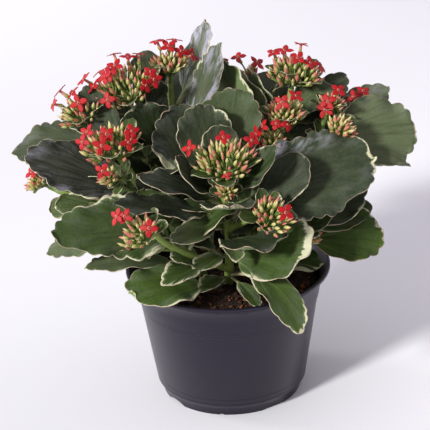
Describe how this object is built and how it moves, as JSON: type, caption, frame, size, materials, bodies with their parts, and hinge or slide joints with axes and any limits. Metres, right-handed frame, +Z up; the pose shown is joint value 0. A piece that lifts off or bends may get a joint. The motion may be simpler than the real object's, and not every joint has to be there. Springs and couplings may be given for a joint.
{
  "type": "potted kalanchoe",
  "caption": "Bushy potted succulent with broad cream-edged leaves and domed red flower heads, planted in soil in a round tapered pot with a flared rim.",
  "frame": {"origin": "on the pot's axis, in the plane that the pot stands on, at the middle of the flat pad under the pot's floor", "axes": "+Z up along the pot's axis, +X to the right and -Y towards the front of the plant"},
  "size_m": [0.2533, 0.2056, 0.2263],
  "materials": {
    "pot": "satin",
    "soil": "rough",
    "stem": "satin",
    "leaf": "waxy",
    "flower": "matte"
  },
  "bodies": {
    "root": {"pot": "pot", "soil": "soil", "stem_front": "stem", "stem_left": "stem", "stem_back": "stem", "stem_right": "stem", "leaf_top_1": "leaf", "leaf_top_2": "leaf", "leaf_top_3": "leaf", "leaf_top_4": "leaf", "leaf_top_5": "leaf", "leaf_top_6": "leaf", "leaf_top_7": "leaf", "leaf_top_8": "leaf", "leaf_crown_1": "leaf", "leaf_crown_2": "leaf", "leaf_crown_3": "leaf", "leaf_crown_4": "leaf", "leaf_crown_5": "leaf", "leaf_crown_6": "leaf", "leaf_crown_7": "leaf", "leaf_crown_8": "leaf", "leaf_right_1": "leaf", "leaf_right_2": "leaf", "leaf_right_3": "leaf", "leaf_right_4": "leaf", "leaf_right_5": "leaf", "leaf_right_6": "leaf", "leaf_right_7": "leaf", "leaf_right_8": "leaf", "leaf_left_1": "leaf", "leaf_left_2": "leaf", "leaf_left_3": "leaf", "leaf_left_4": "leaf", "leaf_left_5": "leaf", "leaf_left_6": "leaf", "leaf_low_1": "leaf", "leaf_low_2": "leaf", "leaf_low_3": "leaf", "leaf_back_1": "leaf", "leaf_back_2": "leaf", "leaf_back_3": "leaf", "leaf_back_4": "leaf", "leaf_back_5": "leaf", "leaf_back_6": "leaf", "leaf_back_7": "leaf", "leaf_back_8": "leaf", "flowers_front": "flower", "flowers_front_right": "flower", "flowers_front_left": "flower", "flowers_left": "flower", "flowers_left_edge": "flower", "flowers_left_side": "flower", "flowers_left_back": "flower", "flowers_left_top": "flower", "flowers_right": "flower", "flowers_right_back": "flower", "flowers_right_far": "flower", "flowers_back": "flower"}
  },
  "joints": []
}
